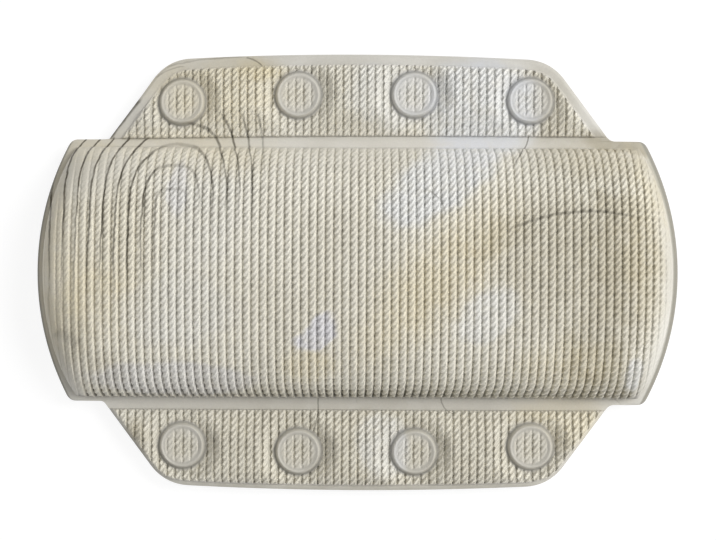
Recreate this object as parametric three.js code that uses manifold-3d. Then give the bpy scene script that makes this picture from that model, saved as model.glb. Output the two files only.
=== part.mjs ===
// Bath pillow: a crowned foam pillow with a flap hinged along each long side, held to a wall by suction cups.
// Millimetres. It lies on its back: +X along the pillow, +Y towards the upper flap, +Z out of the front.
// The origin is the middle of the resting plane, which the cup lips share with the pillow's back.
import * as THREE from 'three';
import { mergeVertices } from 'three/addons/utils/BufferGeometryUtils.js';
import Module from 'manifold-3d';

const wasm = await Module();
wasm.setup();

// Driving dimensions of the pillow
const PILLOW_LENGTH = 356; // tip to tip of the bowed ends
const END_RADIUS = 151; // bow of each end
const HINGE_SPACING = 146.6; // between the two fold lines
const RIM_WIDTH = 5.5; // flat weld border along the bowed ends
const RIM_THICKNESS = 1; // pressed thickness of the front sheet in a weld border
const CROWN_HEIGHT = 34; // front of the pillow above its rim
const CROWN_END_POWER = 10; // how blunt the crown is towards the bowed ends
const CROWN_SIDE_POWER = 4; // how blunt the crown is towards the fold lines
const CROWN_STEEPNESS = 0.25; // a smaller value makes the crown's sides stand steeper
const BACK_FULLNESS = 1.6; // a larger value makes the flat of the back reach further out
const FOOT_WIDTH = 0.8; // flat foot of the pillow's covers along a hinge band
const SHEET_THICKNESS = 3.1; // foamed vinyl of the front
const FILM_THICKNESS = 0.9; // plain vinyl of the back

// Driving dimensions of the flaps and their hinge bands
const BAND_WIDTH = 6.8; // fused strip between pillow and flap
const BAND_THICKNESS = 1.7;
const FLAP_REACH = 47.7; // fold line to the middle of the free edge
const FLAP_BASE_WIDTH = 280; // where the slanted sides meet the fold line
const FLAP_EDGE_WIDTH = 211; // between the corners of the free edge
const FLAP_EDGE_BOW = 3; // rise of the free edge at its middle
const FLAP_CORNER_RADIUS = 22;
const FLAP_RIM_WIDTH = 5; // flat weld border along the slanted sides and the free edge
const NOTCH_RADIUS = 6; // inside corner between flap and pillow
const PAD_BEVEL = 0.9; // eased edge of the padded field

// Driving dimensions of the suction cups and their weld rings
const CUPS_PER_FLAP = 4;
const CUP_SIDE_MARGIN = 25.6; // outer cup's centre to the flap's slanted side, along X
const CUP_STAGGER = 3.1; // inner cups sit this much nearer the free edge
const CUP_DIAMETER = 36;
const CUP_HEIGHT = 10; // lip to the back of the flap
const CUP_HOLLOW = 7.2; // depth of the bell's hollow
const BELL_FLARE = 1.6; // how the bell's outside curves down to the lip
const HOLLOW_FLARE = 1.8; // how the hollow curves down to the lip
const LIP_WIDTH = 1.6; // flat sealing land of the lip
const LIP_THICKNESS = 0.8;
const NECK_DIAMETER = 8;
const FLANGE_THICKNESS = 1.4; // disc held inside the weld ring
const FLANGE_MARGIN = 0.9; // flange's edge to the weld ring
const RING_DIAMETER = 27; // outside of the weld ring
const RING_WIDTH = 2;
const RING_DEPTH = 1.2;

// Clearance between pieces that seat on each other
const GAP = 0.3;

// Fineness of the facets
const COLUMNS = 28;
const ROWS = 16;
const ROUND_STEPS = 24;
const CURVE_STEPS = 6;

// Heights of the layers
const filmTop = CUP_HEIGHT + FILM_THICKNESS;
const sheetBottom = filmTop + GAP;
const rimTop = sheetBottom + RIM_THICKNESS;
const sheetTop = sheetBottom + SHEET_THICKNESS;
const hollowHeight = CROWN_HEIGHT + RIM_THICKNESS - SHEET_THICKNESS;
const hingeZ = (CUP_HEIGHT + rimTop) / 2;

// Places across the part
const hingeY = HINGE_SPACING / 2;
const bandInner = hingeY - BAND_WIDTH / 2;
const bandOuter = hingeY + BAND_WIDTH / 2;
const crownHalfHeight = bandInner - GAP - FOOT_WIDTH;
const flapStart = bandOuter + GAP;
const flapSide = new THREE.Vector2((FLAP_EDGE_WIDTH - FLAP_BASE_WIDTH) / 2, FLAP_REACH - FLAP_EDGE_BOW);
const notchReach = Math.min(
  NOTCH_RADIUS * Math.tan((Math.PI - flapSide.angle()) / 2),
  (BAND_WIDTH / 2) * (flapSide.length() / flapSide.y),
);
const bandHalfLength = FLAP_BASE_WIDTH / 2 + notchReach;

// Places of the suction cups
const cupReach = (BAND_WIDTH / 2 + FLAP_REACH - FLAP_RIM_WIDTH) / 2;
const outerCupX = flapHalfWidth(hingeY + cupReach) - CUP_SIDE_MARGIN;
const flangeRadius = RING_DIAMETER / 2 - RING_WIDTH - FLANGE_MARGIN;

// Materials
const vinylFront = new THREE.MeshStandardMaterial({ color: 0xcfcabb, roughness: 0.5, metalness: 0 });
const vinylWeld = new THREE.MeshStandardMaterial({ color: 0xd3cec0, roughness: 0.4, metalness: 0 });
const vinylBack = new THREE.MeshStandardMaterial({ color: 0xdcd8cc, roughness: 0.4, metalness: 0 });
const foam = new THREE.MeshStandardMaterial({ color: 0xf0e6c6, roughness: 0.9, metalness: 0 });
const cupVinyl = new THREE.MeshStandardMaterial({ color: 0xe4e7e4, roughness: 0.2, metalness: 0 });

// Half length of the pillow at height y, out to its bowed end.
function endX(y) {
  return PILLOW_LENGTH / 2 - END_RADIUS + Math.sqrt(END_RADIUS ** 2 - y ** 2);
}

// Half width of a flap at height y, out to its slanted side.
function flapHalfWidth(y) {
  return FLAP_BASE_WIDTH / 2 + (flapSide.x * (y - hingeY)) / flapSide.y;
}

// Stations from -1 to 1, closer together towards both ends.
function stations(count) {
  return Array.from({ length: count + 1 }, (_, i) => Math.sin((i / count - 0.5) * Math.PI));
}

// Share of the full crown at a place on the front, which is 0 all round the edge of the field.
function crownShare(a, b) {
  return ((1 - Math.abs(a) ** CROWN_END_POWER) * (1 - Math.abs(b) ** CROWN_SIDE_POWER)) ** CROWN_STEEPNESS;
}

// Share of the full depth at a place on the back, which is 1 over its flat middle.
function backShare(a, b) {
  return Math.min(1, BACK_FULLNESS * (1 - Math.abs(a) ** CROWN_END_POWER) * (1 - b ** 2));
}

// A grid of points over the pillow: a field drawn in by inset that rises by rise from the base height.
function fieldGrid(inset, base, rise, share) {
  const halfHeight = crownHalfHeight - inset;
  return stations(ROWS).map((b) => {
    const y = b * halfHeight;
    const halfLength = endX(y) - RIM_WIDTH - inset;
    return stations(COLUMNS).map((a) => new THREE.Vector3(a * halfLength, y, base + rise * share(a, b)));
  });
}

// The same grid with a flat rim round it, out to the bowed ends and the fold lines.
function rimmedGrid(inset, base, rise, share) {
  const field = fieldGrid(inset, base, rise, share);
  const alongFold = (row, side) => row.map((p) => new THREE.Vector3(p.x, side * hingeY, base));
  const rows = [alongFold(field[0], -1), ...field, alongFold(field[ROWS], 1)];
  return rows.map((row) => {
    const { y } = row[0];
    return [new THREE.Vector3(-endX(y), y, base), ...row, new THREE.Vector3(endX(y), y, base)];
  });
}

// One closed solid between two grids of the same layout, with walls round their borders.
function shell(upper, lower) {
  const columns = upper[0].length;
  const rows = upper.length;
  const under = rows * columns;
  const at = (row, column) => row * columns + column;
  const faces = [];
  for (let row = 0; row < rows - 1; row += 1) {
    for (let column = 0; column < columns - 1; column += 1) {
      const [p, q] = [at(row, column), at(row, column + 1)];
      const [s, r] = [at(row + 1, column), at(row + 1, column + 1)];
      faces.push(p, q, r, p, r, s);
      faces.push(under + p, under + r, under + q, under + p, under + s, under + r);
    }
  }
  const border = [];
  for (let column = 0; column < columns - 1; column += 1) border.push(at(0, column));
  for (let row = 0; row < rows - 1; row += 1) border.push(at(row, columns - 1));
  for (let column = columns - 1; column > 0; column -= 1) border.push(at(rows - 1, column));
  for (let row = rows - 1; row > 0; row -= 1) border.push(at(row, 0));
  border.forEach((p, k) => {
    const q = border[(k + 1) % border.length];
    faces.push(under + p, under + q, q, under + p, q, p);
  });
  const geometry = new THREE.BufferGeometry().setFromPoints([...upper.flat(), ...lower.flat()]);
  geometry.setIndex(faces);
  return geometry;
}

// A closed geometry as a solid that can be joined and cut, turned right side out if need be.
function toSolid(geometry) {
  const bare = geometry.clone();
  bare.deleteAttribute('normal');
  bare.deleteAttribute('uv');
  const merged = mergeVertices(bare, 1e-4);
  const points = new Float32Array(merged.attributes.position.array);
  const corner = (i) => new THREE.Vector3().fromArray(points, 3 * i);
  const index = Array.from(merged.index.array);
  const triangles = [];
  let volume = 0;
  for (let k = 0; k < index.length; k += 3) {
    const [p, q, r] = index.slice(k, k + 3);
    if (p === q || q === r || r === p) continue;
    triangles.push([p, q, r]);
    volume += corner(p).dot(corner(q).cross(corner(r)));
  }
  const facing = volume > 0 ? triangles : triangles.map(([p, q, r]) => [p, r, q]);
  const triVerts = new Uint32Array(facing.flat());
  return new wasm.Manifold(new wasm.Mesh({ numProp: 3, vertProperties: points, triVerts }));
}

// A solid as a geometry.
function toGeometry(solid) {
  const { vertProperties, triVerts } = solid.getMesh();
  const geometry = new THREE.BufferGeometry();
  geometry.setAttribute('position', new THREE.BufferAttribute(vertProperties, 3));
  geometry.setIndex(new THREE.BufferAttribute(triVerts, 1));
  geometry.computeVertexNormals();
  return geometry;
}

// A flat shape raised from one height to another.
function plate(shape, bottom, top) {
  const options = { depth: top - bottom, bevelEnabled: false, curveSegments: CURVE_STEPS };
  return new THREE.ExtrudeGeometry(shape, options).translate(0, 0, bottom);
}

// A profile of radius and height turned about the Z axis.
function turned(profile) {
  return new THREE.LatheGeometry(profile, ROUND_STEPS).rotateX(Math.PI / 2);
}

// An outline through corners given as x, y and radius, counter-clockwise, with each corner rounded.
function roundedShape(corners) {
  const shape = new THREE.Shape();
  corners.forEach(([x, y, radius], k) => {
    const here = new THREE.Vector2(x, y);
    const before = new THREE.Vector2(...corners.at(k - 1)).sub(here).normalize();
    const after = new THREE.Vector2(...corners[(k + 1) % corners.length]).sub(here).normalize();
    const reach = radius * Math.tan((Math.PI - Math.acos(before.dot(after))) / 2);
    const from = before.multiplyScalar(reach).add(here);
    const to = after.multiplyScalar(reach).add(here);
    if (k === 0) shape.moveTo(from.x, from.y);
    else shape.lineTo(from.x, from.y);
    if (radius > 0) shape.quadraticCurveTo(x, y, to.x, to.y);
  });
  return shape;
}

// Outline of a flap with its slanted sides and free edge moved in by inset.
function flapShape(inset) {
  const slant = Math.abs(flapSide.x) / flapSide.y;
  const sideInset = inset * Math.hypot(1, slant);
  const cornerY = hingeY + FLAP_REACH - FLAP_EDGE_BOW - inset;
  const baseX = flapHalfWidth(flapStart) - sideInset;
  const edgeX = flapHalfWidth(cornerY) - sideInset;
  const apexRise = FLAP_EDGE_BOW / 0.75; // the curve starts half way along and so reaches 3/4 of its apex
  const bowRadius = edgeX ** 2 / (2 * apexRise);
  const cornerRadius = FLAP_CORNER_RADIUS - inset;
  return roundedShape([
    [-baseX, flapStart, 0],
    [baseX, flapStart, 0],
    [edgeX, cornerY, cornerRadius],
    [0, cornerY + apexRise, bowRadius],
    [-edgeX, cornerY, cornerRadius],
  ]);
}

// Centres of the cups on one flap, from left to right.
function cupPlaces() {
  const middle = (CUPS_PER_FLAP - 1) / 2;
  return Array.from({ length: CUPS_PER_FLAP }, (_, k) => {
    const share = (k - middle) / middle;
    const stagger = Math.abs(share) < 1 ? CUP_STAGGER : 0;
    return new THREE.Vector2(share * outerCupX, hingeY + cupReach + stagger);
  });
}

// Slots along both fold lines, which take the hinge bands out of the pillow's rim.
function bandSlots() {
  const reach = HINGE_SPACING / 2 - bandInner + GAP;
  const slot = new THREE.BoxGeometry(2 * (bandHalfLength + GAP), 2 * reach, 4 * rimTop);
  const above = toSolid(slot.clone().translate(0, hingeY, 0));
  const below = toSolid(slot.clone().translate(0, -hingeY, 0));
  return above.add(below);
}

// Front skin of the pillow: a crowned shell of even thickness with a flat rim.
function pillowFrontCover() {
  const outside = rimmedGrid(0, rimTop, CROWN_HEIGHT, crownShare);
  const inside = rimmedGrid(SHEET_THICKNESS, sheetBottom, hollowHeight, crownShare);
  return toGeometry(toSolid(shell(outside, inside)).subtract(bandSlots()));
}

// Back skin of the pillow: a shallow dish of film with a flat resting area.
function pillowBackCover() {
  const inside = rimmedGrid(FILM_THICKNESS, filmTop, -CUP_HEIGHT, backShare);
  const outside = rimmedGrid(0, CUP_HEIGHT, -CUP_HEIGHT, backShare);
  return toGeometry(toSolid(shell(inside, outside)).subtract(bandSlots()));
}

// Foam filling, which follows the hollow between the two skins.
function foamCore() {
  const inset = SHEET_THICKNESS + GAP;
  const front = fieldGrid(inset, sheetBottom, hollowHeight - GAP, crownShare);
  const back = fieldGrid(inset, filmTop, GAP - CUP_HEIGHT, backShare);
  return shell(front, back);
}

// Fused strip between the pillow and a flap, with the rounded inside corners at its ends.
function hingeBand() {
  const alongSide = flapSide.clone().setLength(notchReach);
  const notch = FLAP_BASE_WIDTH / 2;
  const outerX = flapHalfWidth(bandOuter);
  const shape = new THREE.Shape();
  shape.moveTo(-bandHalfLength, bandInner);
  shape.lineTo(bandHalfLength, bandInner);
  shape.lineTo(bandHalfLength, hingeY);
  shape.quadraticCurveTo(notch, hingeY, notch + alongSide.x, hingeY + alongSide.y);
  shape.lineTo(outerX, bandOuter);
  shape.lineTo(-outerX, bandOuter);
  shape.lineTo(-notch - alongSide.x, hingeY + alongSide.y);
  shape.quadraticCurveTo(-notch, hingeY, -bandHalfLength, hingeY);
  return plate(shape, hingeZ - BAND_THICKNESS / 2, hingeZ + BAND_THICKNESS / 2);
}

// Groove of one weld ring, tapered towards its floor.
function ringGroove() {
  const outer = RING_DIAMETER / 2;
  const inner = outer - RING_WIDTH;
  const floor = sheetTop - RING_DEPTH;
  const above = sheetTop + RING_DEPTH;
  const taper = RING_WIDTH / 4;
  return turned([
    new THREE.Vector2(inner, above),
    new THREE.Vector2(inner, sheetTop),
    new THREE.Vector2(inner + taper, floor),
    new THREE.Vector2(outer - taper, floor),
    new THREE.Vector2(outer, sheetTop),
    new THREE.Vector2(outer, above),
    new THREE.Vector2(inner, above),
  ]);
}

// Round pocket in the sheet's underside that takes a cup's flange.
function flangePocket() {
  const radius = flangeRadius + GAP;
  const top = sheetBottom + FLANGE_THICKNESS + GAP;
  const post = new THREE.CylinderGeometry(radius, radius, top, ROUND_STEPS);
  return post.rotateX(Math.PI / 2).translate(0, 0, top / 2);
}

// Embossed sheet of a flap: a padded field in a pressed rim, with a weld ring over each cup.
function flapFront() {
  const bevel = Math.min(PAD_BEVEL, RIM_THICKNESS);
  const pad = new THREE.ExtrudeGeometry(flapShape(FLAP_RIM_WIDTH), {
    depth: SHEET_THICKNESS - 2 * bevel,
    bevelThickness: bevel,
    bevelSize: bevel,
    bevelOffset: -bevel,
    bevelSegments: 2,
    curveSegments: CURVE_STEPS,
  }).translate(0, 0, sheetBottom + bevel);
  let solid = toSolid(plate(flapShape(0), sheetBottom, rimTop)).add(toSolid(pad));
  for (const { x, y } of cupPlaces()) {
    solid = solid.subtract(toSolid(ringGroove().translate(x, y, 0)));
    solid = solid.subtract(toSolid(flangePocket().translate(x, y, 0)));
  }
  return toGeometry(solid);
}

// Plain film behind a flap, with a hole for each cup's neck.
function flapBack() {
  const shape = flapShape(0);
  for (const { x, y } of cupPlaces()) {
    shape.holes.push(new THREE.Path().absarc(x, y, NECK_DIAMETER / 2 + GAP, 0, 2 * Math.PI, true));
  }
  return plate(shape, CUP_HEIGHT, filmTop);
}

// Suction cup: a bell with a flat lip, a neck through the film and a flange inside the weld ring.
function suctionCup() {
  const neck = NECK_DIAMETER / 2;
  const rim = CUP_DIAMETER / 2;
  const mouth = rim - LIP_WIDTH;
  const bellTop = CUP_HEIGHT - GAP;
  const flangeTop = sheetBottom + FLANGE_THICKNESS;
  const profile = [
    new THREE.Vector2(0, flangeTop),
    new THREE.Vector2(flangeRadius, flangeTop),
    new THREE.Vector2(flangeRadius, sheetBottom),
    new THREE.Vector2(neck, sheetBottom),
  ];
  for (let k = 0; k < CURVE_STEPS; k += 1) {
    const share = k / (CURVE_STEPS - 1);
    const height = LIP_THICKNESS + (bellTop - LIP_THICKNESS) * (1 - share ** BELL_FLARE);
    profile.push(new THREE.Vector2(neck + (rim - neck) * share, height));
  }
  profile.push(new THREE.Vector2(rim, 0));
  for (let k = 0; k < CURVE_STEPS; k += 1) {
    const share = 1 - k / (CURVE_STEPS - 1);
    profile.push(new THREE.Vector2(mouth * share, CUP_HOLLOW * (1 - share ** HOLLOW_FLARE)));
  }
  return toGeometry(toSolid(turned(profile)));
}

// A named piece of the part.
function piece(name, geometry, material) {
  const mesh = new THREE.Mesh(geometry, material);
  mesh.name = name;
  return mesh;
}

// One flap with its hinge band and cups, turned about the middle of the pillow.
function flap(side, turn) {
  const group = new THREE.Group();
  group.rotation.z = turn;
  group.add(piece(`${side}_hinge_band`, hingeBand(), vinylWeld));
  group.add(piece(`${side}_flap_front`, flapFront(), vinylFront));
  group.add(piece(`${side}_flap_back`, flapBack(), vinylBack));
  cupPlaces().forEach(({ x, y }, k) => {
    const number = turn === 0 ? k + 1 : CUPS_PER_FLAP - k;
    const cup = piece(`suction_cup_${side}_${number}`, suctionCup(), cupVinyl);
    cup.position.set(x, y, 0);
    group.add(cup);
  });
  return group;
}

const bathPillow = new THREE.Group();
bathPillow.add(piece('pillow_front_cover', pillowFrontCover(), vinylFront));
bathPillow.add(piece('pillow_back_cover', pillowBackCover(), vinylBack));
bathPillow.add(piece('foam_core', foamCore(), foam));
bathPillow.add(flap('upper', 0));
bathPillow.add(flap('lower', Math.PI));

export default bathPillow;
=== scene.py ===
# Bath pillow: knit-embossed marbled vinyl over foam, with a flap of suction cups along each long side.
import math

import bpy
import numpy as np
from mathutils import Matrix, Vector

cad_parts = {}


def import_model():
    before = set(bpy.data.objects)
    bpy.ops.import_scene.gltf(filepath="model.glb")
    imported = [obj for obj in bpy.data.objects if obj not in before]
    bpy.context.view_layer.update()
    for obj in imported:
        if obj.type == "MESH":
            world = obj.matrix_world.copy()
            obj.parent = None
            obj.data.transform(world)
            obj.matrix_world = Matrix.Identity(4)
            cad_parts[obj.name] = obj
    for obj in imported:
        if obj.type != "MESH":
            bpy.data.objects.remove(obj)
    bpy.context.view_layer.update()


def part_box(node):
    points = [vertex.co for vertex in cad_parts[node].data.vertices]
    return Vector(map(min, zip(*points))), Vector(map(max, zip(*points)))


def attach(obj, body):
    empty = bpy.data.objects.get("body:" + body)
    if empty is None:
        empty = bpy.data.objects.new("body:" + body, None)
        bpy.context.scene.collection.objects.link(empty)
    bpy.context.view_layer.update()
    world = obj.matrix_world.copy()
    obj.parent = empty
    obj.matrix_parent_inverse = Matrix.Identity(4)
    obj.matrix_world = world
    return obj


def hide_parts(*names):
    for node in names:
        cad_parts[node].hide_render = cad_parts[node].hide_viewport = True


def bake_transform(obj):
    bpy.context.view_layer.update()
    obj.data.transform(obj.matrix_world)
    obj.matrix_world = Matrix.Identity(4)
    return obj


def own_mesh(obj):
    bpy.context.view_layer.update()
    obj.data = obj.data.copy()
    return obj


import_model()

MM = 0.001
TINY = 1e-9
ON_EDGE = 1e-6
MIRROR = np.array([-1, 1])


def box_mm(node):
    """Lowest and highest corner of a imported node, in millimetres."""
    low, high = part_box(node)
    return np.array(low) / MM, np.array(high) / MM


# Sizes taken from the frame, in millimetres like every size below
(_, _, SHEET_BOTTOM), (HALF_LENGTH, FOLD_Y, CROWN_TOP) = box_mm("pillow_front_cover")
(_, BAND_INNER, BAND_BOTTOM), (BAND_HALF_LENGTH, _, BAND_TOP) = box_mm("upper_hinge_band")
(_, FLAP_START, _), (_, FREE_EDGE, SHEET_TOP) = box_mm("upper_flap_front")
(_, _, FILM_BOTTOM), (_, _, FILM_TOP) = box_mm("upper_flap_back")

# Pillow
END_RADIUS = 151
RIM_WIDTH = 5.5
RIM_THICKNESS = 1
RIM_TOP = SHEET_BOTTOM + RIM_THICKNESS
SHEET_THICKNESS = SHEET_TOP - SHEET_BOTTOM
CROWN_HEIGHT = CROWN_TOP - RIM_TOP
HOLLOW = CROWN_HEIGHT + RIM_THICKNESS - SHEET_THICKNESS
BACK_FULLNESS = 1.6
GAP = 0.3
SKIN_GAP = 0.05
FOOT_WIDTH = 0.5
PILLOW_CORNER = 3.5
LOWER_TRIM = (1.3, 0.2)
BAND_MARGIN = 8
FIELD_HALF = BAND_INNER - GAP - FOOT_WIDTH
# The crown's sections along and across, each with its power and its steepness
END_FORM = (10, 0.25)
SIDE_FORM = (3.2, 0.5)
# The smooth rim: where it starts as a share of its width, then shares with how far it drops there
RIM_START = 0.12
RIM_SECTION = ((0.6, 0.0), (0.8, 0.12), (0.94, 0.42), (1.0, 0.9))
BACK_RIM = (0.2, 0.9)
BACK_EDGE_ROUND = 0.25

# Wear of the pillow's emboss, as eases: a strength where there is one, then the start and the width
LOWER_EASE = (0.2, 1.6)
LOWER_DEEPER = (0.75, 3.0, 20.0)
UPPER_EASE_START = 0.5
UPPER_EASE_WIDTHS = (14.0, 4.0)
RIGHT_EASE = (20.0, 70.0)
UPPER_SHARE = (0.6, 0.0, 40.0)
UPPER_STRAND = (0.5, 0.0, 45.0)
LEFT_SHARE = (0.8, -168.0, 45.0)
LEFT_STRAND = (0.45, -168.0, 45.0)
CORNER_WEAR_X = (0.75, -150.0, 45.0)
CORNER_WEAR_Y = (30.0, 20.0)
FAINT_KNIT = 0.2
FAINT_EASE = (4.0, 6.0)
# The ease at the pillow's ends: the least of each measure, and what the full crown adds to it
END_WEAR_START = (2.0, 21.0)
END_WEAR_WIDTH = (4.0, 10.0)

# Eases of the painted shade along the pillow's long edges, which is painted light where it is negative
FOOT_PAINTED_SHADE = (0.5, 0.3, 2.0)
GROOVE_PAINTED_SHADE = (0.85, 3.0, 13.0)
UPPER_PAINTED_LIGHT = (-0.3, 4.0, 24.0)

# Flaps
FLAP_BASE_WIDTH = 280
FLAP_EDGE_WIDTH = 213.5
FLAP_EDGE_BOW = 3
FLAP_CORNER_RADIUS = 28
FLAP_RIM_WIDTH = 5
FLAP_BASE = {"upper": FLAP_START - 1.4, "lower": FLAP_START - 0.8}
# The left end of the upper flap hangs towards the pillow
HANG = {"upper": 1.9, "lower": 0.0}
HANG_FROM = 20
HANG_RUN = 140
HANG_POWER = 1.5
HANG_STOP_POWER = 5
LOWER_SIDE_RIM = 0.8
LOWER_EDGE_RIM = 2.4
LOWER_RIM_EASE = (FREE_EDGE - 9, 6)
PAD_EASE = 2.2
BASE_EASE = 0.7
BASE_SHARE = 0.25
# Painted shade at the flap's base, next to its hinge band
BASE_PAINTED_SHADE = (0.5, 0.0, 0.9)
BAND_DROP = (RIM_TOP - BAND_TOP, 0.0, 4.0)
FLAP_KNIT = 0.88
FLAP_KNIT_EASE = (0.3, 1.6)
FLAP_KNIT_BASE = (0.0, 0.5)
FLAP_LIP = 0.1
PUFF = 3.8
PUFF_EASE = 9
PUFF_START = 2.5
PUFF_BASE_EASE = 13.5
FLAP_SLANT = (FLAP_BASE_WIDTH - FLAP_EDGE_WIDTH) / 2 / (FREE_EDGE - FOLD_Y - FLAP_EDGE_BOW)

# Weld rings over the cups
RING_RADIUS = 11.2
RING_SHIFT = {"upper": (-1.2, -0.8), "lower": (-0.4, 0.0)}
RING_HEIGHT = 0.55
RING_SPREAD = 0.75
VALLEY_RADIUS = 13.2
VALLEY_DEPTH = 0.6
VALLEY_SPREAD = 1.1
DISC_HEIGHT = 2.0
DIMPLE_SHARE = 0.9
DIMPLE_WIDTH = 10
EDGE_ROUND = 0.8
EDGE_ROUND_WIDTH = 2.2
DISC_KNIT = (0.35, 8.4, 1.6)
MIDDLE_KNIT = (0.5, 3.0, 6.0)
OUTER_KNIT_EASE = (VALLEY_RADIUS - 0.2, 1.6)
# Painted shade over each cup's disc
DISC_PAINTED_SHADE = 0.06
# Painted shade in dark lines round a ring: strength, radius and spread
RING_PAINTED_SHADES = (
    (0.4, VALLEY_RADIUS, VALLEY_SPREAD),
    (0.6, VALLEY_RADIUS - 0.3, 0.6),
    (0.3, RING_RADIUS - 1.4, 0.5),
)

# Hinge bands
BAND_CLEARANCE = 0.02
BAND_HOLLOW = 0.18
BAND_END_EASE = (0.94, 0.05)
# Lightens the hinge bands, through the same layer as the painted shade
BAND_LIGHTENING = -0.11
FOLD_STEP = 0.01

# Knit emboss, with places across a wale given as shares of its width
WALE_PITCH = 4.403
STITCH_PITCH = 3.73
STRAND_SLANT = 1.45
LEFT_FLANK = 0.26
SHOULDER_DROP = 0.17
SHOULDER_RISE = 0.65
RIGHT_FLANK = 0.84
NOTCH_START = 0.08
NOTCH_FULL = 0.17
NOTCH_EASE = 0.17
NOTCH_TAIL = 0.4
NOTCH_END = 0.7
ROPE_DEPTH = 1.45
STRAND_DEPTH = 1.25
KNIT_RISE = 0.45
WALE_SHIFT = 0.04
SHIFT_TURN = 2.4
UPPER_LEAN = 0.012
LOWER_LEAN = 0.042
LEAN_REACH = 26
STITCH_SQUEEZE = 0.25

# Height of the camera over the rim, for the view and for the layout of the print
CAMERA_DISTANCE = 800

# Fineness of the meshes
WALE_STATIONS = (0.0, 0.14, 0.29, 0.6, 0.85)
ALIGNED_WALES = 35
END_COLUMNS = 44
ROWS_PER_STITCH = 4
SECTION_STEPS = 3000
FLAP_COLUMNS = 600
FLAP_ROWS = 84
LINING_CELLS = (36, 20)
FOAM_CELLS = (60, 36)
BACK_CELLS = (150, 84)
FLAP_LINING_CELLS = (100, 16)
FLAP_FILM_CELLS = (200, 36)
CORNER_STEPS = 40
EDGE_STEPS = 60
OUTLINE_STEPS = 260
BAND_ROWS = 27
BAND_COLUMNS = 241
ROUND_STEPS = 64
BELL_STEPS = 24
HOLLOW_STEPS = 22


# Shapes shared by the pieces


def smooth(edge, width, value):
    """Eases from 0 to 1 as value goes from edge to edge plus width."""
    share = np.clip((value - edge) / width, 0, 1)
    return share * share * (3 - 2 * share)


def rising(low, edge, width, value):
    """Eases from low to 1 over the same span."""
    return low + (1 - low) * smooth(edge, width, value)


def fading(strength, edge, width, value):
    """Eases from a strength to 0 over the same span."""
    return strength * (1 - smooth(edge, width, value))


def ridge(middle, spread, value):
    """A round ridge of height 1 at the middle."""
    return np.exp(-((value - middle) / spread) ** 2)


def swell(width, value):
    """Rises from 0 to 1 over a width, steepest at its start."""
    return 1 - (1 - np.clip(value / width, 0, 1)) ** 2


def on_curve(t, start, control, end):
    """Place at share t of a curve that leaves start and reaches end aiming at control."""
    return (1 - t) ** 2 * start + 2 * t * (1 - t) * control + t ** 2 * end


def step_lengths(line):
    """Length of each step along a line of points."""
    return np.linalg.norm(np.diff(line, axis=0), axis=1)


def travelled(steps):
    """Distance from the start of a line to each of its points."""
    return np.concatenate(([0], np.cumsum(steps)))


def end_x(y):
    """Half length of the pillow at height y, out to its bowed end."""
    return HALF_LENGTH - END_RADIUS + np.sqrt(END_RADIUS ** 2 - np.square(y))


def flap_half_width(y):
    """Half width of a flap at height y, out to its slanted side."""
    return FLAP_BASE_WIDTH / 2 - FLAP_SLANT * (y - FOLD_Y)


def knit(u, v, strand):
    """Depth of the embossed knit at a place on the sheet: 0 on top of the strands, less in the grooves."""
    across = np.mod(u / WALE_PITCH, 1)
    rope = smooth(0, LEFT_FLANK, across) * (1 - smooth(RIGHT_FLANK, 1 - RIGHT_FLANK, across))
    rope = rope * (1 - SHOULDER_DROP * (1 - smooth(LEFT_FLANK, SHOULDER_RISE, across)))
    notch = 1 - (1 - NOTCH_TAIL) * smooth(NOTCH_FULL, NOTCH_EASE, across)
    notch = notch * smooth(0, NOTCH_START, across) * (1 - smooth(NOTCH_END, 1 - NOTCH_END, across))
    shift = WALE_SHIFT * np.sin(SHIFT_TURN * np.floor(u / WALE_PITCH))
    turn = 2 * np.pi * (v / STITCH_PITCH - STRAND_SLANT * (across - 0.5) + shift)
    gap = 0.5 - 0.5 * np.cos(turn)
    return ROPE_DEPTH * (rope - 1) - STRAND_DEPTH * strand * notch * gap


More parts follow.
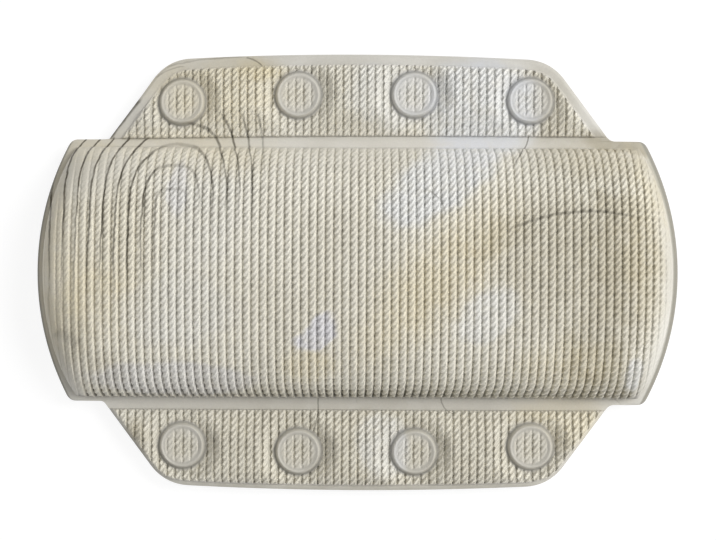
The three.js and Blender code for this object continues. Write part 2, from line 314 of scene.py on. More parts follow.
class Surface:
    """Gathers the points and triangles of one mesh, a grid or a loop at a time."""

    def __init__(self):
        self.points = []
        self.sheets = []
        self.creases = []
        self.strands = []
        self.faces = []
        self.hard = []
        self.count = 0

    def add(self, points, sheet=(0, 0, 0), crease=0.0, strand=1.0):
        """Takes in points with their places on the sheet, their painted shade and shares of knit, and gives
        their numbers.
        """
        points = np.asarray(points, float)
        layout = points.shape[:-1]
        self.points.append(points.reshape(-1, 3))
        self.sheets.append(np.broadcast_to(sheet, points.shape).reshape(-1, 3))
        self.creases.append(np.broadcast_to(crease, layout).ravel())
        self.strands.append(np.broadcast_to(strand, layout).ravel())
        index = np.arange(self.count, self.count + self.points[-1].shape[0])
        self.count += len(index)
        return index.reshape(layout)

    def grid(self, points, down=False, **layers):
        """Adds a grid of points faced up or down, and gives its border's numbers, counter-clockwise."""
        index = self.add(points, **layers)
        p, q = index[:-1, :-1].ravel(), index[:-1, 1:].ravel()
        s, r = index[1:, :-1].ravel(), index[1:, 1:].ravel()
        turns = [(p, r, q), (p, s, r)] if down else [(p, q, r), (p, r, s)]
        self.faces.extend(np.stack(turn, axis=1) for turn in turns)
        return np.concatenate((index[0, :-1], index[:-1, -1], index[-1, :0:-1], index[:0:-1, 0]))

    def slab(self, upper, lower, crease=0.0):
        """Closes a slab between two grids of points, and gives the numbers round its upper border."""
        top, bottom = self.grid(upper, crease=crease), self.grid(lower, down=True)
        self.strip(top, bottom)
        return top

    def strip(self, near, far):
        """Joins two closed loops of as many points, far being further along the surface."""
        near_next, far_next = np.roll(near, -1), np.roll(far, -1)
        self.faces.append(np.stack((far, far_next, near_next), axis=1))
        self.faces.append(np.stack((far, near_next, near), axis=1))

    def chain(self, first, loops):
        """Carries a closed loop on through further loops of points, and gives the last one's numbers."""
        for points in loops:
            index = self.add(points)
            self.strip(first, index)
            first = index
        return first

    def sew(self, near, far):
        """Joins two closed loops of different numbers of points, both started at the same corner."""
        points = np.concatenate(self.points)
        places = []
        for loop in (near, far):
            steps = step_lengths(points[np.append(loop, loop[0])])
            places.append(travelled(steps) / steps.sum())
        faces = []
        i, j = 0, 0
        while i < len(near) or j < len(far):
            here_near, here_far = near[i % len(near)], far[j % len(far)]
            far_first = i == len(near) or (j < len(far) and places[1][j + 1] <= places[0][i + 1])
            if far_first:
                faces.append((here_far, far[(j + 1) % len(far)], here_near))
                j += 1
            else:
                faces.append((here_far, near[(i + 1) % len(near)], here_near))
                i += 1
        self.faces.append(np.array(faces))

    def build(self, name, material):
        """Makes the mesh object, with its place in millimetres kept for the pattern."""
        points = np.concatenate(self.points)
        mesh = bpy.data.meshes.new(name)
        mesh.from_pydata((points * MM).tolist(), [], np.concatenate(self.faces).tolist())
        mesh.shade_smooth()
        # The crease layer darkens the colour where it is positive and paints light where it is negative
        for layer_name, kind, field, values in (
            ("rest", "FLOAT_VECTOR", "vector", self.points),
            ("sheet", "FLOAT_VECTOR", "vector", self.sheets),
            ("crease", "FLOAT", "value", self.creases),
            ("strand", "FLOAT", "value", self.strands),
        ):
            layer = mesh.attributes.new(layer_name, kind, "POINT")
            layer.data.foreach_set(field, np.concatenate(values).astype(np.float32).ravel())
        if self.hard:
            ends = np.empty(2 * len(mesh.edges), np.int32)
            mesh.edges.foreach_get("vertices", ends)
            kept = np.isin(ends, np.concatenate(self.hard)).reshape(-1, 2).all(axis=1)
            mesh.attributes.new("sharp_edge", "BOOLEAN", "EDGE").data.foreach_set("value", kept)
        mesh.materials.append(material)
        obj = bpy.data.objects.new(name, mesh)
        bpy.context.scene.collection.objects.link(obj)
        return obj


def backwards(loop):
    """A closed loop run the other way round from the same start."""
    return np.roll(loop[::-1], 1)


def at_height(points, z):
    """The same points in plan, at height z."""
    plan = points[..., :2]
    return np.concatenate((plan, np.broadcast_to(z, plan.shape[:-1])[..., None]), axis=-1)


def normals(points):
    """Upward unit normals of a grid of points."""
    along = np.gradient(points, axis=1)
    across = np.gradient(points, axis=0)
    normal = np.cross(along, across)
    return normal / np.maximum(np.linalg.norm(normal, axis=2, keepdims=True), TINY)


# Materials


class Graph:
    """The node tree of a material or a world, with short calls for the nodes used here."""

    def __init__(self, owner):
        self.owner = owner
        owner.use_nodes = True
        self.tree = owner.node_tree
        self.tree.nodes.clear()

    def add(self, kind, inputs=(), **settings):
        """Adds a node, sets its options, and fills its inputs with values or links."""
        node = self.tree.nodes.new(kind)
        for key, value in settings.items():
            setattr(node, key, value)
        for key, value in dict(inputs).items():
            if isinstance(value, bpy.types.NodeSocket):
                self.tree.links.new(value, node.inputs[key])
            else:
                node.inputs[key].default_value = value
        return node

    def math(self, operation, *values):
        return self.add("ShaderNodeMath", enumerate(values), operation=operation).outputs[0]

    def plus(self, first, second):
        return self.math("ADD", first, second)

    def minus(self, first, second):
        return self.math("SUBTRACT", first, second)

    def most(self, first, second):
        return self.math("MAXIMUM", first, second)

    def times(self, first, *others):
        """The product of several values."""
        for value in others:
            first = self.math("MULTIPLY", first, value)
        return first

    def vector(self, operation, *values):
        return self.add("ShaderNodeVectorMath", enumerate(values), operation=operation).outputs[0]

    def scale(self, vector, factor):
        """A vector or a colour times one value."""
        inputs = {0: vector, "Scale": factor}
        return self.add("ShaderNodeVectorMath", inputs, operation="SCALE").outputs[0]

    def dot(self, place, x, y):
        """How far a place lies along a direction in plan."""
        inputs = {0: place, 1: (x, y, 0.0)}
        return self.add("ShaderNodeVectorMath", inputs, operation="DOT_PRODUCT").outputs["Value"]

    def parts(self, vector):
        """The three parts of a vector."""
        return self.add("ShaderNodeSeparateXYZ", {0: vector}).outputs

    def attribute(self, name, kind="Vector"):
        return self.add("ShaderNodeAttribute", attribute_name=name).outputs[kind]

    def noise(self, place, scale, detail, roughness=0.5, kind="Fac"):
        inputs = {"Vector": place, "Scale": scale, "Detail": detail, "Roughness": roughness}
        return self.add("ShaderNodeTexNoise", inputs).outputs[kind]

    def span(self, value, low, high, to_low=0.0, to_high=1.0):
        """Eases value from the range low to high onto the range to_low to to_high."""
        inputs = {"Value": value, "From Min": low, "From Max": high, "To Min": to_low, "To Max": to_high}
        return self.add("ShaderNodeMapRange", inputs, interpolation_type="SMOOTHSTEP").outputs["Result"]

    def mix(self, share, first, second, blend="MIX"):
        """Mixes two colours."""
        inputs = {0: share, 6: first, 7: second}
        return self.add("ShaderNodeMix", inputs, data_type="RGBA", blend_type=blend).outputs[2]

    def bump(self, height, strength, distance):
        inputs = {"Height": height, "Strength": strength, "Distance": distance}
        return self.add("ShaderNodeBump", inputs).outputs["Normal"]

    def finish(self, **inputs):
        """Ends the tree in a principled surface with the given inputs."""
        named = {key.replace("_", " "): value for key, value in inputs.items()}
        surface = self.add("ShaderNodeBsdfPrincipled", named)
        self.add("ShaderNodeOutputMaterial", {"Surface": surface.outputs[0]})
        return self.owner


def colour(red, green, blue):
    """A colour given as it shows on screen, from 0 to 255."""
    def linear(value):
        value = value / 255
        return value / 12.92 if value <= 0.04045 else ((value + 0.055) / 1.055) ** 2.4
    return (linear(red), linear(green), linear(blue), 1.0)


CREAM = colour(228, 224, 211)
PLAIN = colour(237, 238, 243)
PALE = colour(228, 228, 225)
VIOLET = colour(216, 217, 228)
STRAW = colour(226, 213, 176)
DUN = colour(193, 186, 166)
UMBER = colour(80, 74, 60)
EDGE_SHADE_GREY = colour(150, 147, 136)
FILM_TINTS = colour(222, 218, 206), colour(212, 207, 193)
FOAM_TINTS = colour(222, 208, 168), colour(244, 234, 202)
CUP_TINTS = colour(240, 243, 240), colour(230, 234, 232)

# Clouds of the print, and a few dun clouds of painted shade: middle x and y, half length and half width,
# turn in degrees, and strength
PALE_CLOUDS = (
    (45, 51, 42, 17, 34, 1.0),
    (69, 92, 34, 30, 0, 1.0),
    (18, 98, 26, 20, 0, 0.5),
    (-90, 46, 20, 12, 80, 0.3),
    (70, -22, 20, 14, 30, 0.6),
    (-98, -20, 34, 22, 0, 0.35),
    (-108, 32, 52, 40, 0, 0.25),
    (15, -96, 15, 20, 0, 0.5),
    (151, -54, 6, 9, 0, 0.7),
)
VIOLET_CLOUDS = (
    (-21, -32, 14, 8, 35, 0.6),
    (-97, 43, 14, 6, 90, 0.3),
    (-100, -58, 50, 10, 0, 0.3),
)
STRAW_CLOUDS = (
    (42, -4, 58, 21, 47, 0.4),
    (-76, 100, 38, 24, 0, 0.4),
    (-56, 112, 16, 9, 0, 0.6),
    (-136, 18, 34, 56, 0, 0.45),
    (-167, 16, 14, 70, 0, 0.5),
    (-98, 64, 52, 16, 0, 0.38),
    (-146, -8, 20, 16, 90, 0.5),
    (-25, -50, 16, 10, 0, 0.35),
    (155, 24, 14, 56, 0, 0.2),
    (158, 48, 7, 30, 20, 0.4),
    (134, 62, 28, 12, 0, 0.15),
    (112, -50, 32, 14, 0, 0.25),
    (112, -76, 28, 8, 0, 0.35),
    (-150, 66, 26, 14, 0, 0.4),
    (-110, 108, 20, 14, 0, 0.4),
    (124, -84, 20, 14, 0, 0.35),
)
DUN_AND_SHADE_CLOUDS = (
    (114, 7, 45, 45, 0, 0.65),
    (138, 6, 28, 48, 0, 1.0),
    (82, 20, 32, 12, 20, 0.7),
    (130, 60, 39, 18, 0, 0.6),
    (112, -58, 44, 14, 0, 0.2),
    (126, -42, 20, 32, 0, 0.85),
    (146, -60, 14, 12, 0, 0.6),
    (-12, -22, 62, 34, 0, 0.25),
    (-143, -56, 20, 14, 0, 0.45),
    (-124, -95, 9, 16, 0, 0.9),
    # Painted shade: darker along the lower flap's bottom rim
    (0, -120, 160, 5, 0, 0.6),
    (-12, 98, 34, 26, 0, 0.25),
    (-158, -34, 16, 26, 0, 0.7),
    (106, 96, 16, 30, 0, 0.5),
    (-84, 114, 42, 14, 0, 0.3),
    (146, 73, 25, 9, 0, 1.3),
    # Painted shade: the lower flap darker towards the bottom
    (0, -98, 175, 34, 0, 0.5),
    (48, -2, 52, 17, 47, 0.25),
    (168, 52, 9, 16, 0, 0.75),
    (171, 22, 12, 46, 0, 0.28),
    (-11, 20, 28, 20, 0, 0.2),
    (-54, 113, 14, 9, 0, 0.5),
    (134, 36, 14, 14, 0, 0.9),
)

# Where the edge of a cloud starts and ends, as shares of its size
SOFT_EDGE = (0.4, 1.35)
CRISP_EDGE = (0.72, 1.12)

# Cracks of the print: both ends, the bow between them, the width and the strength
CRACKS = (
    ((82, 23), (157, 31), 7.0, 1.1, 0.6),
    ((95, 78), (87, 60), 0.8, 0.5, 0.75),
    ((-22, -68), (-25, -90), 1.4, 0.5, 0.6),
    ((46, -69), (53, -78), -1.6, 0.5, 0.5),
    ((-63, 119), (-53, 114), 1.0, 0.6, 0.6),
    ((-120.0, 96.5), (-138.6, 73.2), -0.3, 1.4, 0.85),
    ((-108, 113), (-62, 119), 2.0, 0.5, 0.35),
    ((-113, 107), (-96, 114), 1.6, 0.5, 0.35),
    ((37, 46), (48, 31), 3.0, 0.6, 0.4),
    ((-168, -33), (-154, -41), 0.0, 4.0, 0.3),
)

# Where a crack's edge starts and ends as shares of its width, and the share of its run that fades
CRACK_EDGE = (0.2, 1.2)
CRACK_FADE = 0.12

# Nested contour lines: middle and form of the arches, first line and spacing, and spread of the legs
ARCH_X = -101.2
ARCH_Y = 35.6
ARCH_FLATTENING = 0.587
ARCH_POWER = 3.0
FIRST_ARCH = 6.0
HALF_SPACING = 3.65
LEG_TOP = 73.7
LEG_EASE = 14
LEG_SPREAD = 12.0

# Dark line inside the left rim, and the rim's own edge, painted grey as shade, which is thinner on the lit
# right side
SEAM_INSET = 6.2
LIT_EDGE_TRIM = 1.3

# Fades of the print: where each starts and ends, and its strength there
CONTOUR_LINE = (0.15, 0.85, 1.0, 0.0)
CONTOUR_MIDDLE = (6.0, 18.0, 0.45, 1.0)
LEFT_LEGS_RISE = (-50.0, 45.0, 0.0, 1.0)
LEFT_LEGS_STOP = (73.0, 76.0, 1.0, 0.0)
RIGHT_LEGS_RISE = (20.0, 55.0, 0.0, 0.8)
RIGHT_LEGS_STOP = (80.0, 93.0, 1.0, 0.0)
CONTOURS_END = (-55.0, -50.0, 1.0, 0.0)
LEFT_TO_RIGHT = (-8.0, 8.0)
SEAM_LINE = (0.2, 0.9, 0.6, 0.0)
SEAM_START = (-50.0, -30.0)
SEAM_STOP = (40.0, 60.0, 1.0, 0.0)
EDGE_SHADE_LINE = (0.3, 1.7, 1.0, 0.0)

# Noises, with scale, detail and roughness, and what their middle range is spread to
SWAY_NOISE = (0.04, 4.0, 0.6)
LOOSE_SWAY = (16.0, 16.0, 0.0)
TIGHT_SWAY = (4.0, 4.0, 0.0)
FINE_NOISE = (0.12, 3.0, 0.6)
CLOUD_BREAKUP = (0.3, 0.6, 0.65, 1.0)
LINE_BREAKUP = (0.34, 0.56, 0.7, 1.0)
DRIFT_NOISE = (0.02, 2.0, 0.5)
DUN_DRIFT = (0.45, 0.65, 0.0, 0.14)
GRAIN_NOISE = (1.1, 3.0, 0.65)
UNEVEN_NOISE = (0.22, 2.0, 0.6)
UNEVEN_DEPTH = (0.3, 0.7, 0.75, 1.25)
FILM_GRAIN = (1.6, 4.0, 0.6)
FILM_SHADE = (0.03, 2.0)
FILM_ROUGHNESS = (0.3, 0.7, 0.32, 0.45)
CUP_HAZE = (0.35, 3.0)
CUP_ROUGHNESS = (0.3, 0.7, 0.07, 0.14)
SHADE_RANGE = (0.35, 0.65)
FOAM_SCALE = 0.9
FOAM_RANGE = (0.1, 0.7)

# Bumps, with strength and depth in metres
PRINT_BUMP = (0.8, 0.001)
FILM_BUMP = (0.3, 0.00015)
FOAM_BUMP = (0.6, 0.0005)
CUP_BUMP = (0.15, 0.0002)

# Shade of the printed vinyl: painted shade and highlight by depth in the emboss, painted shade in creases
# and other marked places, and specks of grain
DEPTH_SHADE_AND_HIGHLIGHT = (0.2, 2.4, 0.12, -0.13)
HIDDEN_LINES = (0.1, 0.9, 0.15, 0.0)
PAINTED_SHADE_STRENGTH = 0.5
PLAIN_SPECK = 0.2
KNIT_SPECK = 0.7
SPECK_HEIGHT = 0.3
GRAIN_RANGE = (0.3, 0.7)
ROUGHNESS_SPREAD = 0.06


def cloud(graph, place, edge, x, y, half_length, half_width, turn, strength):
    """One soft patch of colour, for the print and for painted shade."""
    lean = (math.cos(math.radians(turn)), math.sin(math.radians(turn)))
    offset = graph.vector("SUBTRACT", place, (x, y, 0.0))
    along = graph.times(graph.dot(offset, *lean), 1 / half_length)
    aside = graph.times(graph.dot(offset, -lean[1], lean[0]), 1 / half_width)
    squares = graph.plus(graph.math("POWER", along, 2.0), graph.math("POWER", aside, 2.0))
    return graph.span(graph.math("SQRT", squares), *edge, strength, 0.0)


def clouds(graph, place, patches, edge, breakup):
    """Several soft patches together, broken up by a finer noise."""
    total = 0.0
    for patch in patches:
        total = graph.most(total, cloud(graph, place, edge, *patch))
    return graph.times(total, breakup)


def crack(graph, place, start, end, bow, width, strength):
    """One thin dark line of the print, fading at both ends."""
    run = math.dist(start, end)
    along = ((end[0] - start[0]) / run, (end[1] - start[1]) / run)
    offset = graph.vector("SUBTRACT", place, (*start, 0.0))
    t = graph.math("DIVIDE", graph.dot(offset, *along), run)
    rest = graph.minus(1.0, t)
    arch = graph.times(t, rest, 4 * bow)
    aside = graph.math("ABSOLUTE", graph.minus(graph.dot(offset, -along[1], along[0]), arch))
    line = graph.span(aside, CRACK_EDGE[0] * width, CRACK_EDGE[1] * width, strength, 0.0)
    return graph.times(line, graph.span(graph.math("MINIMUM", t, rest), 0.0, CRACK_FADE))


def contours(graph, x, y):
    """Nested arches of thin lines, drawn down into legs that spread along the bowed end."""
    side = graph.minus(x, ARCH_X)
    below = graph.most(graph.minus(LEG_TOP, y), 0.0)
    ease = graph.math("EXPONENT", graph.times(below, -1 / LEG_EASE))
    outward = graph.minus(graph.math("MULTIPLY_ADD", ease, LEG_SPREAD, -LEG_SPREAD / 2), side)
    across = graph.most(graph.mix(graph.math("LESS_THAN", side, 0.0), side, outward), 0.0)
    above = graph.times(graph.most(graph.minus(y, ARCH_Y), 0.0), ARCH_FLATTENING)
    powers = graph.plus(graph.math("POWER", across, ARCH_POWER), graph.math("POWER", above, ARCH_POWER))
    radius = graph.math("POWER", powers, 1 / ARCH_POWER)
    gap = graph.math("PINGPONG", graph.minus(radius, FIRST_ARCH), HALF_SPACING)
    middle = graph.span(graph.math("ABSOLUTE", side), *CONTOUR_MIDDLE)
    left = graph.times(graph.span(y, *LEFT_LEGS_RISE), graph.span(y, *LEFT_LEGS_STOP))
    right = graph.times(graph.span(y, *RIGHT_LEGS_RISE), graph.span(y, *RIGHT_LEGS_STOP))
    right = graph.times(right, graph.span(x, *CONTOURS_END))
    share = graph.mix(graph.span(side, *LEFT_TO_RIGHT), left, right)
    return graph.times(graph.span(gap, *CONTOUR_LINE), middle, share)


def marbling(graph, place, share, clear):
    """Cream stone print: pale, violet, straw and dun clouds, a few dun clouds of painted shade on the lower
    flap, nested contour lines, a few cracks, and painted grey shade along the rim's edge.
    """
    sway = graph.vector("SUBTRACT", graph.noise(place, *SWAY_NOISE, "Color"), (0.5, 0.5, 0.5))
    loose = graph.vector("ADD", place, graph.vector("MULTIPLY", sway, LOOSE_SWAY))
    tight = graph.vector("ADD", place, graph.vector("MULTIPLY", sway, TIGHT_SWAY))
    fine = graph.noise(place, *FINE_NOISE)
    breakup = graph.span(fine, *CLOUD_BREAKUP)

    tint = graph.mix(graph.span(graph.noise(place, *DRIFT_NOISE), *DUN_DRIFT), CREAM, DUN)
    for patches, edge, patch_tint in (
        (DUN_AND_SHADE_CLOUDS, SOFT_EDGE, DUN),
        (STRAW_CLOUDS, SOFT_EDGE, STRAW),
        (PALE_CLOUDS, CRISP_EDGE, PALE),
        (VIOLET_CLOUDS, CRISP_EDGE, VIOLET),
    ):
        tint = graph.mix(clouds(graph, loose, patches, edge, breakup), tint, patch_tint)
    tint = graph.mix(graph.minus(1.0, share), tint, PLAIN, "MULTIPLY")

    x, y, height = graph.parts(place)
    stretch = graph.math("MULTIPLY_ADD", height, 1 / CAMERA_DISTANCE, 1 - RIM_TOP / CAMERA_DISTANCE)
    drawn = graph.scale(tight, stretch)
    lines = contours(graph, *graph.parts(drawn)[:2])
    for item in CRACKS:
        lines = graph.most(lines, crack(graph, drawn, *item))
    lines = graph.times(lines, graph.span(fine, *LINE_BREAKUP), clear)
    tint = graph.mix(lines, tint, UMBER)

    bow = graph.minus(END_RADIUS ** 2, graph.math("POWER", y, 2.0))
    end = graph.plus(graph.math("SQRT", bow), HALF_LENGTH - END_RADIUS)
    room = graph.minus(end, graph.math("ABSOLUTE", x))
    seam = graph.span(graph.math("ABSOLUTE", graph.minus(room, SEAM_INSET)), *SEAM_LINE)
    seam = graph.times(seam, graph.span(y, *SEAM_START), graph.span(y, *SEAM_STOP))
    seam = graph.times(seam, graph.math("LESS_THAN", x, 0.0))
    tint = graph.mix(seam, tint, UMBER)
    # Painted shade: a grey line along the rim's outer edge
    from_edge = graph.math("MULTIPLY_ADD", graph.math("GREATER_THAN", x, 0.0), -LIT_EDGE_TRIM, room)
    return graph.mix(graph.span(from_edge, *EDGE_SHADE_LINE), tint, EDGE_SHADE_GREY)


def knit_depth(graph):
    """The same emboss as in the mesh, finer than the mesh can hold it, and its share up to 1."""
    u, v, share = graph.parts(graph.attribute("sheet"))
    wales = graph.math("DIVIDE", u, WALE_PITCH)
    across = graph.math("FRACT", wales)
    flanks = graph.span(across, 0.0, LEFT_FLANK), graph.span(across, RIGHT_FLANK, 1.0, 1.0, 0.0)
    shoulder = graph.span(across, LEFT_FLANK, LEFT_FLANK + SHOULDER_RISE, 1 - SHOULDER_DROP, 1.0)
    groove = graph.minus(1.0, graph.times(*flanks, shoulder))
    notch = graph.span(across, NOTCH_FULL, NOTCH_FULL + NOTCH_EASE, 1.0, NOTCH_TAIL)
    notch = graph.times(notch, graph.span(across, 0.0, NOTCH_START))
    notch = graph.times(notch, graph.span(across, NOTCH_END, 1.0, 1.0, 0.0))
    rise = graph.times(v, 2 * math.pi / STITCH_PITCH)
    turn = graph.minus(rise, graph.times(across, 2 * math.pi * STRAND_SLANT))
    turn = graph.plus(turn, math.pi * STRAND_SLANT)
    shift = graph.math("SINE", graph.times(graph.math("FLOOR", wales), SHIFT_TURN))
    turn = graph.math("MULTIPLY_ADD", shift, 2 * math.pi * WALE_SHIFT, turn)
    gap = graph.minus(0.5, graph.times(graph.math("COSINE", turn), 0.5))
    dip = graph.times(notch, gap, STRAND_DEPTH, graph.attribute("strand", "Fac"))
    dip = graph.plus(dip, graph.times(groove, ROPE_DEPTH))
    return graph.times(dip, share), graph.math("MINIMUM", share, 1.0)


def marbled_vinyl(name, roughness):
    """Printed soft vinyl with a fine grain: painted shade darker down in the emboss, a painted highlight on
    its tops, and painted shade from the mesh.
    """
    graph = Graph(bpy.data.materials.new(name))
    place = graph.attribute("rest")
    grain = graph.noise(place, *GRAIN_NOISE)
    dip, share = knit_depth(graph)
    dip = graph.times(dip, graph.span(graph.noise(place, *UNEVEN_NOISE), *UNEVEN_DEPTH))
    speck = graph.math("MULTIPLY_ADD", share, KNIT_SPECK, PLAIN_SPECK)
    speck = graph.times(graph.minus(grain, 0.5), speck)
    # Painted shade deep in the emboss and a painted highlight on its tops
    shade = graph.math("MULTIPLY_ADD", graph.span(dip, *DEPTH_SHADE_AND_HIGHLIGHT), share, 1.0)
    # Painted shade from the mesh's layer, which is painted light where it is negative
    crease = graph.math("MULTIPLY_ADD", graph.attribute("crease", "Fac"), -PAINTED_SHADE_STRENGTH, 1.0)
    shade = graph.times(shade, graph.plus(speck, 1.0), crease)
    hidden = graph.times(graph.span(dip, *HIDDEN_LINES), share)
    least, most = roughness - ROUGHNESS_SPREAD, roughness + ROUGHNESS_SPREAD
    return graph.finish(
        Base_Color=graph.scale(marbling(graph, place, share, graph.minus(1.0, hidden)), shade),
        Roughness=graph.span(grain, *GRAIN_RANGE, least, most),
        Specular_IOR_Level=0.35,
        Normal=graph.bump(graph.minus(graph.times(speck, SPECK_HEIGHT), dip), *PRINT_BUMP),
    )


def back_film_vinyl():
    graph = Graph(bpy.data.materials.new("back_film_vinyl"))
    place = graph.attribute("rest")
    grain = graph.noise(place, *FILM_GRAIN)
    shade = graph.noise(place, *FILM_SHADE)
    return graph.finish(
        Base_Color=graph.mix(graph.span(shade, *SHADE_RANGE), *FILM_TINTS),
        Roughness=graph.span(grain, *FILM_ROUGHNESS),
        Specular_IOR_Level=0.4,
        Normal=graph.bump(grain, *FILM_BUMP),
    )


def foam_material():
    graph = Graph(bpy.data.materials.new("open_foam"))
    place = graph.attribute("rest")
    cells = graph.add("ShaderNodeTexVoronoi", {"Vector": place, "Scale": FOAM_SCALE}).outputs["Distance"]
    return graph.finish(
        Base_Color=graph.mix(graph.span(cells, *FOAM_RANGE), *FOAM_TINTS),
        Roughness=0.9,
        Normal=graph.bump(cells, *FOAM_BUMP),
    )


def cup_vinyl():
    graph = Graph(bpy.data.materials.new("cup_vinyl"))
    haze = graph.noise(graph.attribute("rest"), *CUP_HAZE)
    return graph.finish(
        Base_Color=graph.mix(graph.span(haze, *SHADE_RANGE), *CUP_TINTS),
        Roughness=graph.span(haze, *CUP_ROUGHNESS),
        IOR=1.52,
        Transmission_Weight=0.85,
        Normal=graph.bump(haze, *CUP_BUMP),
    )


# The pillow


def section(half, height, form):
    """Half a crowned section from its middle out: shares of its half width, and arc lengths to there."""
    share = np.sin(np.linspace(0, np.pi / 2, SECTION_STEPS))
    rise = height * crown_share(share, form)
    return share, travelled(np.hypot(np.diff(share * half), np.diff(rise)))


def crown_share(share, form):
    """Share of the full crown along one direction of the field, 0 at the field's edge."""
    power, steepness = form
    return np.maximum(1 - np.abs(share) ** power, 0) ** steepness


def front_grid():
    """Points over the crown, their places on the sheet, and the room left to the field's edges."""
    share_y, length_y = section(FIELD_HALF, CROWN_HEIGHT, SIDE_FORM)
    reach = length_y[-1]
    row_count = int(2 * reach / STITCH_PITCH * ROWS_PER_STITCH)
    v = np.linspace(-reach, reach, row_count)
    b = np.sign(v) * np.interp(np.abs(v), length_y, share_y)
    wales = np.arange(-ALIGNED_WALES, ALIGNED_WALES)
    middle = np.append((wales[:, None] + np.array(WALE_STATIONS)).ravel(), ALIGNED_WALES) * WALE_PITCH
    outer = np.arange(1, END_COLUMNS + 1) / END_COLUMNS
    rows, places, rooms = [], [], []
    for row_v, row_b in zip(v, b):
        y = row_b * FIELD_HALF
        half = end_x(y) - RIM_WIDTH
        height = CROWN_HEIGHT * crown_share(row_b, SIDE_FORM)
        share_x, length_x = section(half, height, END_FORM)
        end = middle[-1] + outer * (length_x[-1] - middle[-1])
        u = np.concatenate((-end[::-1], middle, end))
        lean = fading(UPPER_LEAN if row_v > 0 else LOWER_LEAN, 0, LEAN_REACH, reach - abs(row_v))
        drawn = np.abs(u) * (1 - lean * (1 - np.abs(u) / length_x[-1]))
        a = np.sign(u) * np.interp(drawn, length_x, share_x)
        z = RIM_TOP + height * crown_share(a, END_FORM)
        rows.append(np.column_stack((a * half, np.full(len(u), y), z)))
        places.append(np.column_stack((u, np.full(len(u), y + STITCH_SQUEEZE * (row_v - y)))))
        rooms.append(np.column_stack((length_x[-1] - np.abs(u), np.full(len(u), reach - abs(row_v)))))
    return np.array(rows), np.array(places), np.array(rooms)


def fold_edge(x, y):
    """Distance to the long edge on a place's side: the lower one lies nearer, mostly at its left."""
    return FOLD_Y - np.where(y < 0, np.where(x < 0, *LOWER_TRIM), 0.0)


def pillow_outline(points):
    """The rim's outer edge beside each point of the field's edge, drawn in where the hinge bands lie."""
    x, y = points[:, 0], points[:, 1]
    along_fold = np.abs(np.abs(y) - FIELD_HALF) < ON_EDGE
    fold = fold_edge(x, y)
    outer_y = y * fold / FIELD_HALF
    outer_x = np.sign(x) * end_x(outer_y)
    fold_x = x * end_x(fold) / (end_x(FIELD_HALF) - RIM_WIDTH)
    start_x, start_y = BAND_HALF_LENGTH + GAP, BAND_INNER - GAP
    for right, up in ((-1, -1), (-1, 1), (1, -1), (1, 1)):
        corner = along_fold & (np.sign(x) == right) & (np.sign(y) == up)
        for turn_x in (start_x, start_x + fold_edge(right, up) - start_y):
            nearest = np.argmin(np.where(corner, np.abs(np.abs(fold_x) - turn_x), np.inf))
            fold_x[nearest] = right * turn_x
    fold_y = np.sign(y) * np.clip(start_y + np.abs(fold_x) - start_x, start_y, fold)
    by_fold, by_end = np.column_stack((fold_x, fold_y)), np.column_stack((outer_x, outer_y))
    plan = np.where(along_fold[:, None], by_fold, by_end)
    tip = np.sign(plan) * np.column_stack((end_x(fold), fold))
    beside = tip - np.sign(plan) * np.array([PILLOW_CORNER, 0])
    below_y = fold - PILLOW_CORNER
    below = np.sign(plan) * np.column_stack((end_x(below_y), below_y))
    near = np.clip(np.linalg.norm(plan - tip, axis=1) / PILLOW_CORNER, 0, 1)
    t = np.where(along_fold, (1 - near) / 2, (1 + near) / 2)[:, None]
    plan = np.where(near[:, None] < 1, on_curve(t, beside, tip, below), plan)
    return at_height(plan, RIM_TOP)


def beside_band(outline):
    """How far each point of the outline lies against a hinge band, easing out past the band's end."""
    along = np.abs(outline[:, 1]) > BAND_INNER - 2 * GAP
    past = BAND_HALF_LENGTH + FOLD_Y - BAND_INNER + 2 * GAP
    return along * fading(1, past, BAND_MARGIN, np.abs(outline[:, 0]))


def coarse_field(cells, inset, base, rise, share):
    """A coarse grid over the field, drawn in by inset, that rises from the base height."""
    a, b = np.meshgrid(*(np.sin(np.linspace(-np.pi / 2, np.pi / 2, count + 1)) for count in cells))
    y = b * (FIELD_HALF - inset)
    x = a * (end_x(y) - RIM_WIDTH - inset)
    return np.stack((x, y, base + rise * share(a, b)), axis=2)


def front_rise(a, b):
    return crown_share(a, END_FORM) * crown_share(b, SIDE_FORM)


def back_rise(a, b):
    return np.minimum(1, BACK_FULLNESS * (1 - np.abs(a) ** END_FORM[0]) * (1 - b ** 2))


